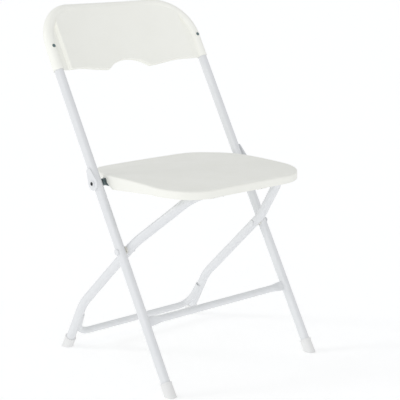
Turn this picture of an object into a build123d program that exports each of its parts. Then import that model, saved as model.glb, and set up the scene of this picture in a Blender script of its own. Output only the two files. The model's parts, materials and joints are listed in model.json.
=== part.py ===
from build123d import *
from math import cos, hypot, radians, sin, tan
import os

# Folding chair with a bent steel tube frame, a moulded back and a moulded seat.
# Millimetres and degrees. X is left to right, Y is front to back, Z is up.
# Everything is laid out from the floor line between the two front feet, and each
# piece is moved back by half the chair's depth when it is written, so that the
# origin is the middle of the chair's footprint.

# ---------------------------------------------------------------- overall sizes
height = 794.0            # floor to the top of the back
leg_spacing = 425.0       # front tube, centre to centre
post_lean = 30.0          # front tube, from the vertical
rear_lean = 46.8          # upper part of the rear legs, from the vertical
rear_foot_lean = 29.0     # lower part of the rear legs, from the vertical

# ------------------------------------------------------------------------ tubes
tube_d = 21.0
tube_wall = 1.2
bar_d = 16.0              # front crossbar and rear brace
bar_wall = 1.2
top_corner_r = 98.0       # front tube's two top bends
top_bow = 28.0            # how far the top of the tube is curved back
top_crown = 12.0          # how far the top of the tube rises in the middle
top_reach = 0.52          # share of the half width that the top curve takes up

# ------------------------------------------------------------- pivots and rivets
leg_pivot_z = 284.49      # floor to the crossing rivets
seat_pivot_z = 423.14     # floor to the seat rivets
crossbar_run = 165.0      # floor to the front crossbar, along the post
rivet_r = 4.0
rivet_head_r = 7.0
rivet_head_t = 2.6
running_gap = 0.06        # radial clearance of a hole that turns on a rivet
side_gap = 0.3            # clearance between faces that turn past each other
leg_gap = 2.0             # between the crossing tubes
washer_r = 9.0

# ------------------------------------------------------------------- rear frame
rear_bend_z = 120.0       # height of the lower bend
rear_bend_r = 150.0
rear_turn_rise = 19.5     # crossing rivets to where the legs start to run inwards
rear_turn_r = 110.0
rear_top_inset = 86.5     # top corners, in from the posts' centre lines
rear_top_r = 45.0
brace_z = 33.0
brace_end_z = 88.0
brace_bend_r = 38.0
brace_inset = 15.0        # from the leg's centre line, at the brace's height
brace_end_inset = 7.0     # the same at the upturned ends
weld_gap = 0.05           # between pieces that are welded together
bush_play = 0.4           # between the bush's ends and the rail's walls
bush_wall = 2.0
bush_inset = 56.0         # bushes, in from the rear frame's top corners

# ----------------------------------------------------------------- foot boots
boot_wall = 3.0           # round the tube, at the floor
boot_top_wall = 1.9
boot_height = 30.0        # along the leg
boot_sole = 3.0
boot_lip = 0.9

# --------------------------------------------------------------------- backrest
sleeve_wall = 1.8
sleeve_gap = 0.2          # between the tube and the sleeve
back_reach = 145.995      # lower edge, down the post from the top bends' line
sheet_front = 6.0         # web between the sleeves, ahead of the tube's centre line
sheet_t = 4.0
pad_front = 14.0          # raised panel's front face, ahead of the tube's centre line
pad_wall = 3.0
pad_margin = 12.0         # groove between the sleeve and the raised panel
pad_slope = 8.0           # width of the panel's slanted sides
pad_drop = 1.0            # panel's top edge, below the top tube's centre line
pad_corner_r = 64.0
handle_half = 60.0        # hand-hold arch, half its width
handle_rise = 20.0
lobe_drop = 2.0
side_arch_rise = 3.5
back_screw_reach = 90.995  # the same, for the screws
screw_r = 2.0
screw_head_r = 3.6
screw_head_t = 2.0
screw_gap = 0.2

# ------------------------------------------------------------------------- seat
seat_inset = 15.5         # sides, in from the posts' centre lines
seat_nose = 37.97         # front edge, ahead of the rear frame's top bar
seat_overhang = 112.7     # rear edge, behind the seat rivets
seat_narrowing = 57.0     # each side, at the rear corners
seat_corner_r = 88.0      # front corners
shoulder_ahead = 39.3     # where the sides start to run inwards, ahead of the rivets
seat_top_front = 434.5    # heights of the seat's top
seat_top_middle = 441.0
seat_top_back = 431.5
seat_edge_r = 4.0         # rounding of the seat's upper edge
seat_crest = 136.0        # highest line of the top, behind the front edge
seat_skin = 3.2
skirt_front_z = 417.0     # heights of the skirt's lower edge
skirt_corner_z = 420.0
skirt_middle_z = 421.5
skirt_corner_back = 38.0  # places on that edge, behind the front edge
skirt_middle_back = 91.0
skirt_back_z = 411.0
skirt_back_ahead = 33.3   # where the skirt is cut off, ahead of the seat rivets
skirt_cut = 30.0          # run of the slanted cut
rear_rim_z = 426.5
rib_depth = 5.0
rib_t = 2.2
rib_spacing = 23.0        # side ribs, inside the brackets
rib_margin = 46.0         # ends of the ribs, in from the seat's edges
cross_rib_front = 126.0   # cross ribs, in from the front and rear edges
cross_rib_back = 95.0
cross_rib_gap = 12.0      # ends of the middle cross ribs to the rails
cross_rib_in = 37.0       # reach of the side cross ribs, either side of their rib
cross_rib_out = 15.0

# ------------------------------------------------------- brackets under the seat
mount_z = 433.0           # plane of the pads that the brackets are screwed to
bracket_t = 2.5
bracket_inset = 26.5      # outer face, in from the posts' centre lines
bracket_ahead = 96.3      # front edge, ahead of the seat rivets
flange_width = 28.0
ear_r = 9.5               # hinge bracket's eye
ear_clearance = 0.9       # round the eye, where it passes through the skirt
seat_bush_r = 8.0
rail_t = 2.0
rail_half_width = 14.0
rail_front_lug = 5.0
rail_lug_z = 410.0
rail_flange = 6.0
rail_back_ahead = 46.3    # rear end, ahead of the seat rivets
slide_gap = 0.4           # between the bush and the rail above it
bar_gap = 0.6             # between the bar and the notch in the rail
bracket_screws_ahead = (82.3, 48.3)
rail_screw_ahead = 26.0   # rear screw, ahead of the rail's rear end
rail_screw_behind = 48.03  # front screw, behind the top bar
mount_screw_length = 7.0

# --------------------------------------------------------------- hinge plates
plate_t = 2.5
plate_r = 15.5
plate_top_r = 8.0
plate_reach = 28.0        # between its two round ends, along the post

# ------------------------------------------------------------- worked-out places
tube_r = tube_d / 2
bar_r = bar_d / 2
leg_x = leg_spacing / 2
rear_x = leg_x - tube_d - leg_gap
rear_top_half = leg_x - rear_top_inset
bush_x = rear_top_half - bush_inset
cross_rib_half = bush_x - rail_half_width - cross_rib_gap
boot_r = tube_r + boot_wall
boot_top_r = tube_r + boot_top_wall
seat_half = leg_x - seat_inset
seat_back_half = seat_half - seat_narrowing
bracket_half = leg_x - bracket_inset
flange_inner = bracket_half - flange_width
sleeve_r = tube_r + sleeve_gap + sleeve_wall
lean_sin = sin(radians(post_lean))
lean_cos = cos(radians(post_lean))
top_gain = 1 - top_reach / 2
top_back = top_bow / top_gain
top_rise = top_crown / top_gain
top_fall = (top_back * lean_sin - top_rise * lean_cos) * top_corner_r / leg_x
top_run = (height - sleeve_r + top_fall) / lean_cos
back_bottom_run = top_run - back_reach
back_screw_run = top_run - back_screw_reach
leg_pivot_run = leg_pivot_z / lean_cos
seat_pivot_run = seat_pivot_z / lean_cos
rear_turn_z = leg_pivot_z + rear_turn_rise
bush_r = tube_r + bush_wall
bush_length = 2 * (rail_half_width - rail_t - bush_play)


def on_post(run):
    """Y and Z of a point on the post's centre line."""
    return run * lean_sin, run * lean_cos


leg_pivot_y = on_post(leg_pivot_run)[0]
seat_pivot_y = on_post(seat_pivot_run)[0]


def rear_y(z):
    """Y of the rear leg's centre line above its lower bend."""
    return leg_pivot_y - (z - leg_pivot_z) * tan(radians(rear_lean))


def rear_foot_y(z):
    """Y of the rear leg's centre line below its lower bend."""
    return rear_y(rear_bend_z) + (rear_bend_z - z) * tan(radians(rear_foot_lean))


top_bar_z = mount_z - rail_t - slide_gap - bush_r
top_bar_y = rear_y(top_bar_z)
seat_front = top_bar_y - seat_nose
seat_back = seat_pivot_y + seat_overhang
seat_shoulder = seat_pivot_y - shoulder_ahead
seat_middle = seat_front + seat_crest
skirt_corner = seat_front + skirt_corner_back
skirt_middle = seat_front + skirt_middle_back
skirt_back = seat_pivot_y - skirt_back_ahead
bracket_front = seat_pivot_y - bracket_ahead
rail_back = seat_pivot_y - rail_back_ahead
bracket_screws_y = [seat_pivot_y - ahead for ahead in bracket_screws_ahead]
rail_screws_y = [top_bar_y + rail_screw_behind, rail_back - rail_screw_ahead]
depth_back = (top_run + top_crown) * lean_sin + top_bow * lean_cos + sleeve_r
depth_middle = (depth_back + seat_front) / 2

# Plane of the two posts: X across, Y up along the posts, Z towards the front.
post_plane = Plane(origin=(0, 0, 0), x_dir=(1, 0, 0), z_dir=(0, -lean_cos, lean_sin))


def at_post(x, run, forward=0.0):
    """A point given across the chair, along the posts and ahead of them."""
    return post_plane.from_local_coords(Vector(x, run, forward))


def cylinder_x(x0, x1, y, z, r):
    """A cylinder along X from x0 to x1."""
    middle = Pos((x0 + x1) / 2, y, z) * Rot(0, 90, 0)
    return middle * Cylinder(r, abs(x1 - x0))


def box_between(low, high):
    """A box from its lowest to its highest corner."""
    size = [high[i] - low[i] for i in range(3)]
    middle = [(high[i] + low[i]) / 2 for i in range(3)]
    return Pos(*middle) * Box(*size)


def swept(path, r):
    """A round bar along a path."""
    return sweep(Plane(origin=path @ 0, z_dir=path % 0) * Circle(r), path=path)


def bent_tube(path, r, wall):
    """A tube along a path, open at both ends."""
    return swept(path, r) - swept(path, r - wall)


def prism_x(points, x0, x1):
    """A solid with a Y-Z outline, from x0 to x1."""
    outline = Plane.YZ * Polyline(*points, close=True)
    face = make_face(outline)
    return Pos(x0, 0, 0) * extrude(face, amount=x1 - x0, dir=(1, 0, 0))


# ------------------------------------------------------------------ front frame
def front_path(start_run):
    """Centre line of the front tube, from one post over the top to the other."""
    top_r = top_reach * leg_x * leg_x / hypot(top_back, top_rise)
    return FilletPolyline(
        at_post(-leg_x, start_run),
        at_post(-leg_x, top_run),
        at_post(0, top_run + top_rise, -top_back),
        at_post(leg_x, top_run),
        at_post(leg_x, start_run),
        radius=[top_corner_r, top_r, top_corner_r],
    )


def tube_start(lean):
    """Distance along a leg from the floor to the tube's cut end."""
    return (boot_sole + tube_r * sin(radians(lean))) / cos(radians(lean)) + 1.0


def make_front_frame_tube():
    tube = bent_tube(front_path(tube_start(post_lean)), tube_r, tube_wall)
    reach = leg_x + tube_d
    tube -= cylinder_x(-reach, reach, leg_pivot_y, leg_pivot_z, rivet_r)
    tube -= cylinder_x(-reach, reach, seat_pivot_y, seat_pivot_z, rivet_r)
    for side in (-1, 1):
        hole = Plane(origin=at_post(side * leg_x, back_screw_run), z_dir=post_plane.z_dir)
        tube -= hole * Pos(0, 0, tube_r) * Cylinder(screw_r + screw_gap, tube_d)
    return tube


def make_front_crossbar():
    flat_t, flat_h, flat_run, squeeze = 5.4, 22.0, 9.0, 26.0
    inner = leg_x - tube_r
    bar_end = inner - flat_run - squeeze
    middle = Plane(origin=at_post(0, crossbar_run), x_dir=post_plane.y_dir, z_dir=(1, 0, 0))
    bar = middle * Cylinder(bar_r, 2 * bar_end)
    bore = middle * Cylinder(bar_r - bar_wall, 2 * bar_end)
    for side in (-1, 1):
        start = middle.offset(side * bar_end)
        pressed = middle.offset(side * (bar_end + squeeze))
        flat = pressed * Ellipse(flat_h / 2, flat_t / 2)
        bar += loft([start * Circle(bar_r), flat])
        bar += extrude(flat, amount=flat_run, dir=(side, 0, 0))
        thin = pressed * Ellipse(flat_h / 2 - bar_wall, flat_t / 2 - bar_wall)
        bore += loft([start * Circle(bar_r - bar_wall), thin])
    return bar - bore


def bowed_slab(front, back, half, slope):
    """A slab that follows the bow of the top tube, with slanted sides."""
    across = Plane(
        origin=at_post(0, back_bottom_run - 40), x_dir=(1, 0, 0), z_dir=post_plane.y_dir
    )

    def bow(ahead, reach):
        edge = top_bow * (1 - (reach / leg_x) ** 2) - ahead
        return (-reach, edge), (0, top_bow - ahead), (reach, edge)

    near = bow(front, half - slope)
    far = bow(back, half)
    sides = [Line(near[0], far[0]), Line(near[2], far[2])]
    face = make_face(across * Curve([ThreePointArc(*near), ThreePointArc(*far), *sides]))
    return extrude(face, amount=top_run - back_bottom_run + 80, dir=post_plane.y_dir)


def panel_prism(lift):
    """Everything above the backrest's lower edge, raised by the lift."""
    low = back_bottom_run + lift
    high = top_run + 60
    right = [
        (leg_x, low),
        (leg_x * 0.84, low + 0.3),
        (leg_x * 0.66, low + side_arch_rise),
        (leg_x * 0.5, low + 1.2),
        (handle_half + 6, low - lobe_drop + 0.3),
    ]
    left = [(-x, y) for x, y in reversed(right)]
    tip = (handle_half, low - lobe_drop)
    edges = [
        Spline(*right),
        Line(right[-1], tip),
        ThreePointArc(tip, (0, low + handle_rise), (-tip[0], tip[1])),
        Line((-tip[0], tip[1]), left[0]),
        Spline(*left),
        Line(left[-1], (-leg_x, high)),
        Line((-leg_x, high), (leg_x, high)),
        Line((leg_x, high), right[0]),
    ]
    return extrude(make_face(post_plane * Curve(edges)), amount=60, both=True)


def panel_window(half, top, corner):
    """Everything inside a frame whose upper edge follows the top tube."""
    low = back_bottom_run - 40
    rise = top_rise * half / leg_x
    crown_r = top_reach * half * leg_x / top_rise
    frame = FilletPolyline((-half, low), (-half, top), (0, top + rise), (half, top), (half, low),
                           radius=[corner, crown_r, corner])
    closing = Line((half, low), (-half, low))
    face = make_face(post_plane * Curve([*frame.edges(), closing]))
    return extrude(face, amount=60, both=True)


def make_backrest():
    sleeve = swept(front_path(back_bottom_run), sleeve_r)
    web = panel_prism(0) & panel_window(leg_x, top_run, top_corner_r)
    web = web & bowed_slab(sheet_front, sheet_front - sheet_t, leg_x, 0)
    pad_half = leg_x - sleeve_r - pad_margin
    pad_top = top_run - pad_drop
    pad = panel_prism(0) & panel_window(pad_half, pad_top, pad_corner_r)
    pad = pad & bowed_slab(pad_front, sheet_front - sheet_t, pad_half, pad_slope)
    inner_corner_r = pad_corner_r - pad_wall
    hollow = panel_prism(pad_wall) & panel_window(pad_half - pad_wall, pad_top - pad_margin,
                                                  inner_corner_r)
    hollow = hollow & bowed_slab(pad_front - pad_wall, -pad_front, pad_half - pad_wall, pad_slope)
    body = sleeve + web + pad - hollow
    body -= swept(front_path(back_bottom_run - 60), tube_r + sleeve_gap)
    for side in (-1, 1):
        hole = Plane(origin=at_post(side * leg_x, back_screw_run), z_dir=post_plane.z_dir)
        body -= hole * Pos(0, 0, sleeve_r) * Cylinder(screw_r + screw_gap, tube_d)
        seat_face = sleeve_r - sleeve_wall / 2
        body -= hole * Pos(0, 0, seat_face + 5) * Cylinder(screw_head_r + 0.6, 10)
    return body


def make_backrest_screws():
    screws = []
    for side in (-1, 1):
        place = Plane(origin=at_post(side * leg_x, back_screw_run), z_dir=post_plane.z_dir)
        seat_face = sleeve_r - sleeve_wall / 2 + 0.05
        head = Pos(0, 0, seat_face + screw_head_t / 2) * Cylinder(screw_head_r, screw_head_t)
        shank_length = 9.0
        shank = Pos(0, 0, seat_face - shank_length / 2) * Cylinder(screw_r, shank_length)
        screws.append(place * (head + shank))
    return screws


def make_hinge_plate(side):
    inner = leg_x + tube_r
    low = Pos(seat_pivot_y, seat_pivot_z) * Circle(plate_r)
    high = Pos(*on_post(seat_pivot_run + plate_reach)) * Circle(plate_top_r)
    face = make_hull((low + high).edges())
    plate = extrude(Plane.YZ * face, amount=plate_t, dir=(1, 0, 0))
    x = inner if side > 0 else -inner - plate_t
    hole = cylinder_x(side * (inner - 1), side * (inner + plate_t + 1),
                      seat_pivot_y, seat_pivot_z, rivet_r)
    return Pos(x, 0, 0) * plate - hole


def make_rivet(side, y, z, outer, inner):
    """A rivet from its outer head's seat to its inner head's seat."""
    rivet = cylinder_x(side * inner, side * outer, y, z, rivet_r)
    rivet += cylinder_x(side * outer, side * (outer + rivet_head_t), y, z, rivet_head_r)
    rivet += cylinder_x(side * (inner - rivet_head_t), side * inner, y, z, rivet_head_r)
    heads = [e for e in rivet.edges().filter_by(GeomType.CIRCLE)
             if abs(e.radius - rivet_head_r) < 0.01
             and (abs(e.center().X) > outer + 1 or abs(e.center().X) < inner - 1)]
    return fillet(heads, rivet_head_t * 0.6)


def make_seat_rivet(side):
    inner = bracket_half - bracket_t - side_gap
    return make_rivet(side, seat_pivot_y, seat_pivot_z, leg_x + tube_r + plate_t, inner)


def make_leg_rivet(side):
    inner = rear_x - tube_r - side_gap
    return make_rivet(side, leg_pivot_y, leg_pivot_z, leg_x + tube_r, inner)


def make_leg_washer(side):
    inner = rear_x + tube_r + side_gap
    outer = leg_x - tube_r
    ring = cylinder_x(side * inner, side * outer, leg_pivot_y, leg_pivot_z, washer_r)
    return ring - cylinder_x(side * (inner - 1), side * (outer + 1),
                             leg_pivot_y, leg_pivot_z, rivet_r)


def make_foot(x, y, direction, lean):
    """A moulded boot on the end of a leg, cut flat by the floor."""
    leg = Plane(origin=(x, y, 0), z_dir=direction)
    below = 14.0
    body = leg * Pos(0, 0, (boot_height - below) / 2) * Cone(
        boot_r, boot_top_r, boot_height + below
    )
    lip = leg * Pos(0, 0, boot_height - 2) * Cylinder(boot_top_r + boot_lip, 4)
    lip = fillet(lip.edges().filter_by(GeomType.CIRCLE), 0.8)
    start = tube_start(lean)
    bore = leg * Pos(0, 0, start + boot_height / 2) * Cylinder(tube_r, boot_height)
    foot = body + lip - bore
    return foot & box_between((x - 60, y - 60, 0), (x + 60, y + 60, 60))


def make_front_foot(side):
    return make_foot(side * leg_x, 0, (0, lean_sin, lean_cos), post_lean)


# ------------------------------------------------------------------- rear frame
def rear_path():
    """Centre line of the rear tube, from one foot over the top bar to the other."""
    start_z = tube_start(rear_foot_lean) * cos(radians(rear_foot_lean))
    left = [
        (-rear_x, rear_foot_y(start_z), start_z),
        (-rear_x, rear_y(rear_bend_z), rear_bend_z),
        (-rear_x, rear_y(rear_turn_z), rear_turn_z),
        (-rear_top_half, top_bar_y, top_bar_z),
    ]
    right = [(-x, y, z) for x, y, z in reversed(left)]
    radii = [rear_bend_r, rear_turn_r, rear_top_r]
    return FilletPolyline(*left, *right, radius=[*radii, *reversed(radii)])


def make_rear_frame_tube():
    tube = bent_tube(rear_path(), tube_r, tube_wall)
    reach = rear_x + tube_d
    return tube - cylinder_x(-reach, reach, leg_pivot_y, leg_pivot_z, rivet_r + running_gap)


def make_rear_brace():
    x = rear_x - brace_inset
    end_x = rear_x - brace_end_inset
    points = [
        (-end_x, rear_foot_y(brace_end_z), brace_end_z),
        (-x, rear_foot_y(brace_z), brace_z),
        (x, rear_foot_y(brace_z), brace_z),
        (end_x, rear_foot_y(brace_end_z), brace_end_z),
    ]
    bar = bent_tube(FilletPolyline(*points, radius=brace_bend_r), bar_r, bar_wall)
    return bar - swept(rear_path(), tube_r + weld_gap)


def make_slide_bush(side):
    x0 = side * bush_x - bush_length / 2
    x1 = side * bush_x + bush_length / 2
    bush = cylinder_x(x0, x1, top_bar_y, top_bar_z, bush_r)
    return bush - cylinder_x(x0 - 1, x1 + 1, top_bar_y, top_bar_z, tube_r)


def make_rear_foot(side):
    lean = radians(rear_foot_lean)
    return make_foot(side * rear_x, rear_foot_y(0), (0, -sin(lean), cos(lean)), rear_foot_lean)


# ------------------------------------------------------------------------- seat
def seat_outline(inset):
    """The seat seen from above, drawn in by the inset."""
    half = seat_half - inset
    front = seat_front + inset
    back = seat_back - inset
    rear_half = seat_back_half - inset * 0.5
    corner = seat_corner_r - inset
    taper = half - rear_half
    run = back - seat_shoulder

    def rear(across, along):
        """A point of the rear corner, in shares of the taper and of the rear run."""
        return rear_half + across * taper, back - along * run

    right = [
        Line((0, front), (half - corner, front)),
        RadiusArc((half - corner, front), (half, front + corner), -corner),
        Line((half, front + corner), (half, seat_shoulder)),
        Bezier((half, seat_shoulder), rear(1, 0.77), rear(0.81, 0.585), rear(0.614, 0.44)),
        Bezier(rear(0.614, 0.44), rear(0.386, 0.27), rear(0.21, 0.125), rear(-0.14, 0.0625)),
        Bezier(rear(-0.14, 0.0625), rear(-0.39, 0.019), rear(-0.7, 0.018), rear(-1.05, 0.014)),
        ThreePointArc(rear(-1.05, 0.014), (rear(-1.05, 0)[0] / 2, back - 0.0035 * run), (0, back)),
    ]
    edges = [e for piece in right for e in piece.edges()]
    left = [e.mirror(Plane.YZ) for e in edges]
    return make_face(edges + left)


def seat_slab(top_offset, low_points, inset, x_half):
    """A slab under the seat's arched top, inside its outline."""
    front, back = seat_front - 5, seat_back + 5
    arch = ThreePointArc(
        (front, seat_top_front - top_offset),
        (seat_middle, seat_top_middle - top_offset),
        (back, seat_top_back - top_offset),
    )
    low = Polyline((back, seat_top_back - top_offset), *low_points,
                   (front, seat_top_front - top_offset))
    side = make_face(Plane.YZ * Curve([arch, *low.edges()]))
    slab = extrude(side, amount=x_half, both=True)
    prism = extrude(seat_outline(inset), amount=600)
    return slab & prism


def make_seat_shell():
    front, back = seat_front - 5, seat_back + 5
    low_edge = [
        (back, rear_rim_z),
        (skirt_back + skirt_cut, rear_rim_z + 1),
        (skirt_back, skirt_back_z),
        (skirt_middle, skirt_middle_z),
        (skirt_corner, skirt_corner_z),
        (front, skirt_front_z),
    ]
    shell = seat_slab(0, low_edge, 0, seat_half + 5)
    shell = fillet(shell.faces().sort_by(Axis.Z)[-1].edges(), seat_edge_r)
    below = [(back, 300), (front, 300)]
    shell -= seat_slab(seat_skin, below, seat_skin, seat_half)
    # ribs and screw pads hang from the underside of the skin
    ribs = Part()
    rib_x = flange_inner - rib_spacing
    rib_ends = (seat_front + rib_margin, seat_back - rib_margin)
    for x in (-rib_x, 0.0, rib_x):
        ribs += box_between((x - rib_t / 2, rib_ends[0], 300), (x + rib_t / 2, rib_ends[1], 600))
    side_rib = (rib_x - cross_rib_in, rib_x + cross_rib_out)
    for y in (seat_front + cross_rib_front, seat_back - cross_rib_back):
        for x0, x1 in ((-cross_rib_half, cross_rib_half), side_rib, (-side_rib[1], -side_rib[0])):
            ribs += box_between((x0, y - rib_t / 2, 300), (x1, y + rib_t / 2, 600))
    rib_low = [(back, seat_top_back - seat_skin - rib_depth),
               (seat_middle, seat_top_middle - seat_skin - rib_depth),
               (front, seat_top_front - seat_skin - rib_depth)]
    ribs = ribs & seat_slab(0.5, rib_low, seat_skin / 2, seat_half)
    pads = Part()
    for side in (-1, 1):
        for y in rail_screws_y:
            pads += Pos(side * bush_x, y, mount_z + 50) * Cylinder(9, 100)
        for y in bracket_screws_y:
            middle = side * (flange_inner + bracket_half - bracket_t) / 2
            pads += Pos(middle, y, mount_z + 50) * Cylinder(9, 100)
    pad_low = [(back, seat_top_back - seat_skin), (rail_back + 40, mount_z), (front, mount_z)]
    pads = pads & seat_slab(0.5, pad_low, seat_skin / 2, seat_half)
    shell = shell + ribs + pads
    for x, y in mount_screw_places():
        shell -= Pos(x, y, mount_z) * Cylinder(screw_r + weld_gap, 2 * (mount_screw_length - rail_t) + 1)
    for side in (-1, 1):
        inner = bracket_half - bracket_t - 2 * rivet_head_t
        shell -= cylinder_x(side * inner, side * (seat_half + 5), seat_pivot_y, seat_pivot_z,
                            ear_r + ear_clearance)
    return shell


def mount_screw_places(kind="all"):
    places = []
    for side in (-1, 1):
        if kind in ("all", "rail"):
            places += [(side * bush_x, y) for y in rail_screws_y]
        if kind in ("all", "bracket"):
            middle = side * (flange_inner + bracket_half - bracket_t) / 2
            places += [(middle, y) for y in bracket_screws_y]
    return places


def make_mount_screws(kind, sheet):
    """Screws that hold a bracket of the given sheet thickness under the seat."""
    screws = []
    for x, y in mount_screw_places(kind):
        under = mount_z - sheet
        head = Pos(x, y, under - screw_head_t / 2) * Cylinder(screw_head_r, screw_head_t)
        shank = Pos(x, y, under + (mount_screw_length - 1) / 2) * Cylinder(
            screw_r, mount_screw_length - 1)
        screws.append(head + shank)
    return screws


def make_seat_bracket(side):
    """Hinge bracket: an upright ear on the rivet and a flange under the seat."""
    ear_points = [
        (bracket_front, mount_z),
        (skirt_back + 16, mount_z),
        (seat_pivot_y + 6, seat_pivot_z + 6),
        (seat_pivot_y + 10, seat_pivot_z - 2),
        (seat_pivot_y + 4, seat_pivot_z - 10),
        (seat_pivot_y - 30, seat_pivot_z - 9),
        (bracket_front + 4, mount_z - 11),
    ]
    x0 = bracket_half - bracket_t
    ear = prism_x(ear_points, x0, bracket_half)
    ear += cylinder_x(x0, bracket_half, seat_pivot_y, seat_pivot_z, ear_r)
    flange = box_between((flange_inner, bracket_front, mount_z - bracket_t),
                         (bracket_half, skirt_back + 4, mount_z))
    bracket = ear + flange
    bracket -= cylinder_x(x0 - 5, bracket_half + 5, seat_pivot_y, seat_pivot_z,
                          rivet_r + running_gap)
    for x, y in mount_screw_places("bracket"):
        if x > 0:
            bracket -= Pos(x, y, mount_z) * Cylinder(screw_r + screw_gap, 20)
    return bracket if side > 0 else bracket.mirror(Plane.YZ)


def make_seat_bush(side):
    inner, outer = bracket_half, leg_x - tube_r - side_gap
    bush = cylinder_x(side * inner, side * outer, seat_pivot_y, seat_pivot_z, seat_bush_r)
    return bush - cylinder_x(side * (inner - 1), side * (outer + 1),
                             seat_pivot_y, seat_pivot_z, rivet_r + running_gap)


def make_slide_rail(side):
    """Channel under the seat, with a notch that sits on the rear frame's top bar."""
    front = top_bar_y - tube_r - bar_gap - rail_front_lug
    web_z = mount_z - rail_t
    web = box_between((-rail_half_width, front, web_z), (rail_half_width, rail_back, mount_z))
    lug_back = front + rail_front_lug
    notch_r = tube_r + bar_gap
    wall_points = [
        (front, mount_z),
        (rail_back, mount_z),
        (rail_back - 6, web_z - rail_flange),
        (top_bar_y + notch_r + 1, web_z - rail_flange),
        (top_bar_y, web_z - rail_flange),
        (lug_back, rail_lug_z),
        (front, rail_lug_z),
    ]
    rail = web
    for x in (-rail_half_width, rail_half_width - rail_t):
        rail += prism_x(wall_points, x, x + rail_t)
    rail -= cylinder_x(-20, 20, top_bar_y, top_bar_z, notch_r)
    for x, y in mount_screw_places("rail"):
        if x > 0:
            rail -= Pos(0, y, mount_z) * Cylinder(screw_r + screw_gap, 20)
    return Pos(side * bush_x, 0, 0) * rail


# ---------------------------------------------------------------------- writing
def write(node, shape):
    """Write one piece, or a group of separate pieces, to its own file."""
    solids = []
    for piece in (shape if isinstance(shape, list) else [shape]):
        solids += piece.solids()
    moved = [Pos(0, -depth_middle, 0) * s for s in solids]
    export_step(moved[0] if len(moved) == 1 else Compound(children=moved), f"parts/{node}.step")


os.makedirs("parts", exist_ok=True)
write("front_frame_tube", make_front_frame_tube())
write("front_crossbar", make_front_crossbar())
write("backrest", make_backrest())
write("backrest_screws", make_backrest_screws())
write("rear_frame_tube", make_rear_frame_tube())
write("rear_brace", make_rear_brace())
write("seat_shell", make_seat_shell())
write("seat_bracket_screws", make_mount_screws("bracket", bracket_t))
write("slide_rail_screws", make_mount_screws("rail", rail_t))
for name, side in (("left", -1), ("right", 1)):
    write(f"hinge_plate_{name}", make_hinge_plate(side))
    write(f"seat_rivet_{name}", make_seat_rivet(side))
    write(f"leg_rivet_{name}", make_leg_rivet(side))
    write(f"leg_washer_{name}", make_leg_washer(side))
    write(f"front_foot_{name}", make_front_foot(side))
    write(f"rear_foot_{name}", make_rear_foot(side))
    write(f"slide_bush_{name}", make_slide_bush(side))
    write(f"seat_bracket_{name}", make_seat_bracket(side))
    write(f"seat_bush_{name}", make_seat_bush(side))
    write(f"slide_rail_{name}", make_slide_rail(side))
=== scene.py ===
import json
import math

import bpy
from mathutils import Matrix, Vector


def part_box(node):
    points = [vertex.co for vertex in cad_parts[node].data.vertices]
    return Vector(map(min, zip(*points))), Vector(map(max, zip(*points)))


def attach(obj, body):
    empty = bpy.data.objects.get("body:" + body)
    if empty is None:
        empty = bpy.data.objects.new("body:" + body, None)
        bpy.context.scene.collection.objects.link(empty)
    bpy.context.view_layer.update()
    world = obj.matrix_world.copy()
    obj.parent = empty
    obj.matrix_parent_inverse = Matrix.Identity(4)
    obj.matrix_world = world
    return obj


# A white folding chair: painted steel tube, moulded seat and moulded back.
# Metres, +X to the viewer's right, +Y to the back, +Z up, floor at Z = 0.

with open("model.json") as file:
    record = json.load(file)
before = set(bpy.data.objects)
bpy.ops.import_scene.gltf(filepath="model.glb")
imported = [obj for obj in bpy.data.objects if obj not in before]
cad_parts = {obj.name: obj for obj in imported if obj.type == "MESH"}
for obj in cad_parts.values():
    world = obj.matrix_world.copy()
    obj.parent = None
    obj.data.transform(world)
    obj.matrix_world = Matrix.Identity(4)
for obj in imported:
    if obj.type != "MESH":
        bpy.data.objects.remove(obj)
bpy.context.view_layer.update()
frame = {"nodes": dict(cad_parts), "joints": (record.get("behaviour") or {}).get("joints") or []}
nodes = frame["nodes"]
MM = 0.001


# ------------------------------------------------------------------ camera
def make_camera():
    """A long lens, a little above the seat, to the left of the front."""
    sensor_mm, lens_mm = 36.0, 111.4
    eye, downward, turned = (-1.7932, -2.1298, 0.9910), 12.9, 41.37
    data = bpy.data.cameras.new("camera")
    data.sensor_width = sensor_mm
    data.lens = lens_mm
    camera = bpy.data.objects.new("camera", data)
    bpy.context.scene.collection.objects.link(camera)
    camera.location = eye
    camera.rotation_euler = (math.radians(90 - downward), 0, math.radians(-turned))
    bpy.context.scene.camera = camera


# ------------------------------------------------------------------ lights
def sun(name, azimuth, elevation, softness, strength, shadows=True):
    """A far softbox. Azimuth 0 is in front of the chair and 90 is on the viewer's left."""
    data = bpy.data.lights.new(name, "SUN")
    data.angle = math.radians(softness)
    data.energy = strength
    data.use_shadow = shadows
    light = bpy.data.objects.new(name, data)
    bpy.context.scene.collection.objects.link(light)
    a, e = math.radians(azimuth), math.radians(elevation)
    towards = Vector((-math.sin(a) * math.cos(e), -math.cos(a) * math.cos(e), math.sin(e)))
    light.rotation_euler = towards.to_track_quat("Z", "Y").to_euler()


def make_lights():
    """An even white studio with a wide fill from the front and a softbox at the side."""
    sky, sky_strength = (0.98, 0.99, 1.0, 1.0), 0.73
    world = bpy.data.worlds.new("studio")
    bpy.context.scene.world = world
    world.use_nodes = True
    background = world.node_tree.nodes["Background"]
    background.inputs["Color"].default_value = sky
    background.inputs["Strength"].default_value = sky_strength
    sun("front_softbox", azimuth=56, elevation=20, softness=40, strength=0.54, shadows=False)
    sun("side_softbox", azimuth=131, elevation=24, softness=12, strength=0.35)
    bpy.context.scene.view_settings.view_transform = "Standard"


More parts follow.
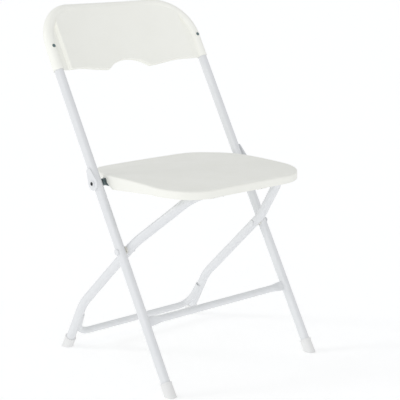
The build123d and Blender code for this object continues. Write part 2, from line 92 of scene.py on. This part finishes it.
# --------------------------------------------------------------- materials
def linear(hex_colour):
    """An sRGB hex value as a linear colour."""
    values = []
    for i in (1, 3, 5):
        c = int(hex_colour[i:i + 2], 16) / 255
        values.append(c / 12.92 if c <= 0.04045 else ((c + 0.055) / 1.055) ** 2.4)
    return (*values, 1.0)


def add(tree, kind, links=None, values=None, **settings):
    """Adds a node with its settings, its input values and the links into it."""
    made = tree.nodes.new(kind)
    for key, value in settings.items():
        setattr(made, key, value)
    for socket, value in (values or {}).items():
        made.inputs[socket].default_value = value
    for socket, source in (links or {}).items():
        tree.links.new(source, made.inputs[socket])
    return made


def finish_material(name, light_hex, dark_hex, roughness, grain_mm, bump_mm, metallic=0.0,
                    coat=0.0):
    """A surface with slow tone changes, a fine moulded or sprayed grain and worn gloss."""
    ior, coat_roughness = 1.5, 0.25         # 1.5 suits paint and plastic and is the shader's default
    blotch_mm, rough_swing = 60.0, 0.06     # the slow changes of tone and gloss
    material = bpy.data.materials.new(name)
    material.use_nodes = True
    tree = material.node_tree
    shader = tree.nodes["Principled BSDF"]
    shader.inputs["Metallic"].default_value = metallic
    shader.inputs["IOR"].default_value = ior
    shader.inputs["Coat Weight"].default_value = coat
    shader.inputs["Coat Roughness"].default_value = coat_roughness
    place = add(tree, "ShaderNodeTexCoord").outputs["Object"]
    blotch = add(tree, "ShaderNodeTexNoise", {"Vector": place},
                 {"Scale": 1000 / blotch_mm, "Detail": 3.0, "Roughness": 0.55})
    grain = add(tree, "ShaderNodeTexNoise", {"Vector": place},
                {"Scale": 1000 / grain_mm, "Detail": 2.0, "Roughness": 0.5})
    # The mix node has several inputs of one name, so its colour sockets go by number.
    tone = add(tree, "ShaderNodeMix", {"Factor": blotch.outputs["Fac"]}, data_type="RGBA")
    tone.inputs[6].default_value = linear(light_hex)
    tone.inputs[7].default_value = linear(dark_hex)
    tree.links.new(tone.outputs[2], shader.inputs["Base Color"])
    gloss = add(tree, "ShaderNodeMapRange", {"Value": blotch.outputs["Fac"]},
                {"From Min": 0.3, "From Max": 0.7, "To Min": roughness - rough_swing,
                 "To Max": roughness + rough_swing})
    tree.links.new(gloss.outputs["Result"], shader.inputs["Roughness"])
    bump = add(tree, "ShaderNodeBump", {"Height": grain.outputs["Fac"]},
               {"Strength": 0.5, "Distance": bump_mm * MM})
    tree.links.new(bump.outputs["Normal"], shader.inputs["Normal"])
    return material


# Powder-coated steel, sprayed and baked: cool white and satin, with a faint orange peel drawn at
# about its real size.
powder_coat = finish_material("powder_coated_steel", "#E4E5E7", "#DDDFE1", roughness=0.34,
                              grain_mm=1.6, bump_mm=0.06, coat=0.15)
# Polypropylene moulded in a spark-eroded tool: warm white with a soft gloss. The seat's copy is a
# shade darker than the back's. That is painted shade, standing in for the dimmer light on the seat's
# top. The real grain is a few tenths of a millimetre, too fine to show, so it is drawn at 1.4 mm.
seat_plastic_painted_shade = finish_material("moulded_polypropylene_seat_painted_shade", "#F5F5EF", "#EFEFE8", roughness=0.44,
                               grain_mm=1.4, bump_mm=0.08)
back_plastic = finish_material("moulded_polypropylene_back", "#F9F9F3", "#F4F4ED", roughness=0.44,
                               grain_mm=1.4, bump_mm=0.08)
# Boots of moulded polyethylene: duller than the tubes they close. The mould's fine grain is drawn
# at 1.2 mm.
boot_plastic = finish_material("moulded_boot_plastic", "#EAEAEA", "#E0E0DF", roughness=0.5,
                               grain_mm=1.2, bump_mm=0.08)
# Zinc-plated steel, pressed from sheet: blue-grey with a dull metal sheen. Its tone is darker than
# bright plating. Partly that is painted shade, matching the brackets as they look in the shade under
# the seat. The plating's grain is far finer than a millimetre and is drawn at 2 mm.
zinc_with_painted_shade = finish_material("zinc_plated_steel_painted_shade", "#74888A", "#5F7375", roughness=0.42, grain_mm=2.0,
                       bump_mm=0.03, metallic=0.5)
# Blackened steel: dark, so that the screws read as small dark points. On the rivets' ends the dark
# is painted shade: their flat centres stand in for the shadow inside a hollow end. Its grain is
# drawn as coarse as the zinc's.
dark_steel_and_painted_hollow = finish_material("blackened_steel_and_painted_hollow_shade", "#3A3D40", "#2A2C2E", roughness=0.4,
                            grain_mm=2.0, bump_mm=0.03, metallic=1.0)
# Moulded nylon, smooth with a slight gloss, left natural on the washers and slide bushes. On the
# seat's bushes it is dark grey-teal, which is painted shade standing in for the shaded corners under
# the back of the seat. The mould's fine grain is drawn at 1 mm.
shade_dark_nylon = finish_material("painted_shade_nylon", "#566668", "#475658", roughness=0.4,
                             grain_mm=1.0, bump_mm=0.04)
nylon = finish_material("natural_nylon", "#E6E4DC", "#DAD8CF", roughness=0.35, grain_mm=1.0,
                        bump_mm=0.04)
# Matt painted floor: pale, almost without gloss and quite flat, so its grain has no depth.
floor_finish = finish_material("pale_studio_floor", "#FAFAFA", "#F8F8F8", roughness=0.9,
                               grain_mm=30.0, bump_mm=0.0)


def paint(names, material):
    """Gives CAD nodes a finish."""
    for name in names:
        slots = nodes[name].data.materials
        slots.clear()
        slots.append(material)


def both(name):
    """The left and right nodes of a pair."""
    return [f"{name}_left", f"{name}_right"]


paint(["front_frame_tube", "rear_frame_tube", "front_crossbar", "rear_brace"], powder_coat)
paint(both("hinge_plate"), powder_coat)
# The seat's finish is a shade darker than the back's: painted shade for the dimmer light on its top.
paint(["seat_shell"], seat_plastic_painted_shade)
paint(["backrest"], back_plastic)
paint(both("front_foot") + both("rear_foot"), boot_plastic)
# The brackets, rails and back screws take the zinc that is darkened in part by painted shade.
paint(both("seat_bracket") + both("slide_rail"), zinc_with_painted_shade)
paint(["seat_bracket_screws", "slide_rail_screws"], dark_steel_and_painted_hollow)
paint(["backrest_screws"], zinc_with_painted_shade)
paint(both("seat_rivet") + both("leg_rivet"), powder_coat)
paint(both("leg_washer") + both("slide_bush"), nylon)
# Painted shade: the seat's bushes are dark for the shaded corners where they sit.
paint(both("seat_bush"), shade_dark_nylon)


# ------------------------------------------------------------ modelling tools
def deselect():
    """Leaves nothing selected."""
    bpy.ops.object.select_all(action="DESELECT")


def focus(piece):
    """Makes one piece the only selected and the active one."""
    deselect()
    piece.select_set(True)
    bpy.context.view_layer.objects.active = piece


def settle(piece):
    """Puts a piece's place, turn and size into its mesh."""
    focus(piece)
    bpy.ops.object.transform_apply(location=True, rotation=True, scale=True)


def tidy_mesh(piece):
    """Merges doubled points and turns every face outwards."""
    doubled = 0.02 * MM
    focus(piece)
    bpy.ops.object.mode_set(mode="EDIT")
    bpy.ops.mesh.select_all(action="SELECT")
    bpy.ops.mesh.remove_doubles(threshold=doubled)
    bpy.ops.mesh.normals_make_consistent(inside=False)
    bpy.ops.object.mode_set(mode="OBJECT")


def open_line(name, points):
    """A straight-sided open curve through points."""
    data = bpy.data.curves.new(name, "CURVE")
    data.dimensions = "3D"
    spline = data.splines.new("POLY")
    spline.points.add(len(points) - 1)
    for target, point in zip(spline.points, points):
        target.co = (*point, 1.0)
    piece = bpy.data.objects.new(name, data)
    bpy.context.scene.collection.objects.link(piece)
    return piece


def to_mesh(piece):
    """Turns a curve into a mesh of its own."""
    focus(piece)
    bpy.ops.object.convert(target="MESH")
    return bpy.context.object


def lathe(name, profile, place, turn):
    """A profile of (radius, height) pairs in mm, turned round its upright axis, then placed."""
    steps = 48
    piece = to_mesh(open_line(name, [(r * MM, 0.0, h * MM) for r, h in profile]))
    bpy.ops.object.mode_set(mode="EDIT")
    bpy.ops.mesh.select_all(action="SELECT")
    bpy.ops.mesh.spin(steps=steps, angle=math.tau, center=(0, 0, 0), axis=(0, 0, 1))
    bpy.ops.object.mode_set(mode="OBJECT")
    tidy_mesh(piece)
    piece.rotation_euler = turn
    piece.location = place
    settle(piece)
    return piece


def complete(piece, material, body):
    """The last steps of every piece: smooth shading, finish and body."""
    sharp_from = 35
    focus(piece)
    bpy.ops.object.shade_smooth_by_angle(angle=math.radians(sharp_from))
    piece.data.materials.clear()
    piece.data.materials.append(material)
    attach(piece, body)


# ------------------------------------------------------------ shared places
LEAN = math.radians(30.0)      # of the posts, from upright
leg_pivot = Vector(frame["joints"][0]["pos_m"])
seat_pivot = Vector(frame["joints"][1]["pos_m"])
# y of the posts' centre line at the floor
floor_line_y = leg_pivot.y - leg_pivot.z * math.tan(LEAN)
leg_x = (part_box("front_foot_right")[0][0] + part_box("front_foot_right")[1][0]) / 2


def at_post(run, forward=0.0):
    """Y and Z of a point so far up the posts and so far ahead of them."""
    return (floor_line_y + run * math.sin(LEAN) - forward * math.cos(LEAN),
            run * math.cos(LEAN) + forward * math.sin(LEAN))


SCREW_RUN = 814 * MM           # the back's screws, along the posts
SLEEVE_FACE = 12.1 * MM        # just inside the sleeve's front, ahead of the posts' centre line


# ------------------------------------------------------------ rivets and screws
def make_rivet_ends():
    """Rolled-over ends of the two rivets that the seat hangs on. Their hollows are painted: a flat
    dark centre stands in for the shade inside.
    """
    profile = [(0, 0.02), (2.9, 0.02), (3.3, 0.35), (3.8, 0.5), (4.2, 0.35), (4.3, 0.0),
               (4.3, -0.1), (0, -0.1)]
    for side, name in ((-1, "left"), (1, "right")):
        low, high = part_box(f"seat_rivet_{name}")
        face = high[0] if side > 0 else low[0]
        end = lathe(f"rivet_end_{name}", profile, (face, seat_pivot.y, seat_pivot.z),
                    (0, side * math.pi / 2, 0))
        # Painted shade: the whole end is dark, so its flat centre reads as a hollow in shadow.
        complete(end, dark_steel_and_painted_hollow, "front_frame")


def make_screw_rings():
    """Raised rings moulded round the screws in the back's sleeves."""
    y, z = at_post(SCREW_RUN, SLEEVE_FACE)
    profile = [(4.2, 0), (4.4, 0.9), (5.2, 1.2), (6.1, 0.8), (6.6, -0.4), (4.2, -0.4), (4.2, 0)]
    for side, name in ((-1, "left"), (1, "right")):
        ring = lathe(f"screw_ring_{name}", profile, (side * leg_x, y, z),
                     (math.pi / 2 - LEAN, 0, 0))
        complete(ring, back_plastic, "front_frame")


def make_floor():
    """A wide white floor that glows just enough to stay white, with faint shadows."""
    floor_side, floor_drop, floor_glow = 60.0, 0.5 * MM, 0.22
    deselect()
    bpy.ops.mesh.primitive_plane_add(size=floor_side, location=(0, 0, -floor_drop))
    floor = bpy.context.object
    floor.name = "floor"
    floor.data.materials.append(floor_finish)
    glow = floor_finish.node_tree.nodes["Principled BSDF"]
    glow.inputs["Emission Color"].default_value = (1.0, 1.0, 1.0, 1.0)
    glow.inputs["Emission Strength"].default_value = floor_glow


make_camera()
make_lights()
make_floor()
make_rivet_ends()
make_screw_rings()
